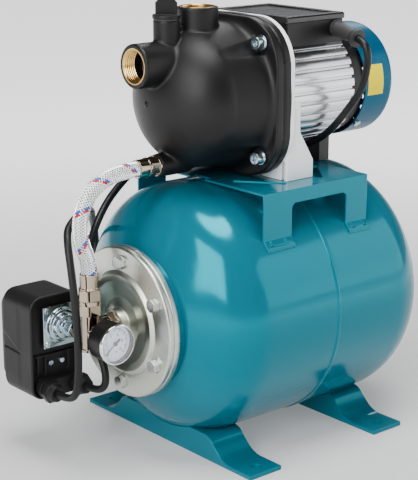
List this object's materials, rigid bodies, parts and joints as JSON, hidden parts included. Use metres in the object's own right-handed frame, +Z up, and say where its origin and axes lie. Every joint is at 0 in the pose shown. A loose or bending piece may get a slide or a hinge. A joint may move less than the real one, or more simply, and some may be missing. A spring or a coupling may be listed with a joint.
{
  "type": "centrifugal water pump",
  "caption": "Self-priming jet pump and motor on a horizontal pressure tank, with hose, gauge and pressure switch.",
  "frame": {"origin": "on the floor, at the middle of the four foot holes", "axes": "+Z up, +X along the tank from the suction port and flange towards the motor's fan, -Y towards the pressure gauge's face"},
  "size_m": [0.458, 0.4095, 0.4744],
  "materials": {
    "teal_enamel": "glossy teal enamel",
    "teal_cover": "satin teal paint",
    "black_plastic": "satin black moulded plastic",
    "box_plastic": "satin black plastic",
    "switch_plastic": "satin dark grey plastic",
    "clear_plastic": "clear",
    "white_plastic": "matt white",
    "zinc": "zinc plated",
    "steel": "ground steel",
    "electrical_steel": "laminated, varnished",
    "copper": "enamelled copper wire",
    "brass": "turned brass",
    "nickel": "nickel-plated brass",
    "cast_aluminium": "light grey die-cast aluminium",
    "extruded_aluminium": "bright extruded",
    "rubber": "black rubber",
    "cable": "black cable sheath",
    "braid": "silver braided sleeve with red and blue tracers",
    "chrome": "polished"
  },
  "bodies": {
    "frame": {"air_valve_body": "brass", "air_valve_cap": "black_plastic", "bearing_outer_rings": "steel", "cable_boot": "rubber", "cable_glands": "switch_plastic", "casing_bolts": "zinc", "casing_seal": "rubber", "discharge_insert": "brass", "ejector": "black_plastic", "fan_cover": "teal_cover", "fan_cover_screws": "zinc", "five_way_fitting": "nickel", "flange_bolts": "zinc", "foot_bolts": "zinc", "front_foot": "teal_enamel", "gauge_bezel": "chrome", "gauge_case": "box_plastic", "gauge_dial": "white_plastic", "gauge_lens": "clear_plastic", "hose": "braid", "hose_fittings": "nickel", "mains_coil": "cable", "mains_lead": "cable", "mains_plug": "black_plastic", "membrane": "rubber", "motor_bracket": "cast_aluminium", "motor_end_shield": "box_plastic", "motor_frame": "extruded_aluminium", "motor_lead": "cable", "motor_rubber_foot": "rubber", "platform": "teal_enamel", "pump_casing": "black_plastic", "rear_foot": "teal_enamel", "seal_seat": "white_plastic", "stator_core": "electrical_steel", "stator_windings": "copper", "suction_insert": "brass", "switch_base": "switch_plastic", "switch_cover": "switch_plastic", "switch_flange": "zinc", "switch_frame": "zinc", "switch_screws": "zinc", "tank_flange": "zinc", "tank_front_shell": "teal_enamel", "tank_rear_shell": "teal_enamel", "tank_weld_seam": "teal_enamel", "terminal_box": "box_plastic", "terminal_box_lid": "box_plastic"},
    "rotor": {"motor_shaft": "steel", "rotor_core": "electrical_steel", "impeller": "brass", "impeller_nut": "steel", "fan": "black_plastic"},
    "ball_sets": {"bearing_balls": "steel"},
    "plug_seal": {"filler_seal": "rubber"},
    "plug": {"filler_plug": "black_plastic"},
    "sector": {"gauge_sector": "brass"},
    "needle": {"gauge_needle": "black_plastic"},
    "lever": {"switch_lever": "zinc"},
    "valve_pin": {"air_valve_pin": "brass"}
  },
  "joints": [
    {"name": "rotor_spin", "type": "hinge", "parent": "frame", "child": "rotor", "pos_m": [0, 0, 0.368], "axis": [1, 0, 0], "continuous": true},
    {"name": "ball_set_spin", "type": "hinge", "parent": "frame", "child": "ball_sets", "pos_m": [0, 0, 0.368], "axis": [1, 0, 0], "continuous": true},
    {"name": "plug_lift", "type": "slide", "parent": "frame", "child": "plug_seal", "axis": [0, 0, 1], "range_m": [0, 0.0216]},
    {"name": "plug_turn", "type": "hinge", "parent": "plug_seal", "child": "plug", "pos_m": [-0.1045, 0, 0.45], "axis": [0, 0, 1], "range_deg": [0, 4288]},
    {"name": "sector_turn", "type": "hinge", "parent": "frame", "child": "sector", "pos_m": [-0.206, -0.036, 0.128], "axis": [0, 1, 0], "range_deg": [-50, 0]},
    {"name": "needle_turn", "type": "hinge", "parent": "frame", "child": "needle", "pos_m": [-0.206, -0.042, 0.142], "axis": [0, 1, 0], "range_deg": [0, 250]},
    {"name": "lever_tilt", "type": "hinge", "parent": "frame", "child": "lever", "pos_m": [-0.208, 0.06875, 0.113], "axis": [1, 0, 0], "range_deg": [0, 2], "stiffness_Nm_per_rad": 2},
    {"name": "valve_pin_press", "type": "slide", "parent": "frame", "child": "valve_pin", "axis": [-1, 0, 0], "range_m": [0, 0.0015], "stiffness_N_per_m": 300}
  ],
  "couplings": [
    {"joint": "ball_set_spin", "follows": "rotor_spin", "ratio": 0.42},
    {"joint": "plug_turn", "follows": "plug_lift", "rad_per_m": 3463.7},
    {"joint": "needle_turn", "follows": "sector_turn", "ratio": -5}
  ]
}
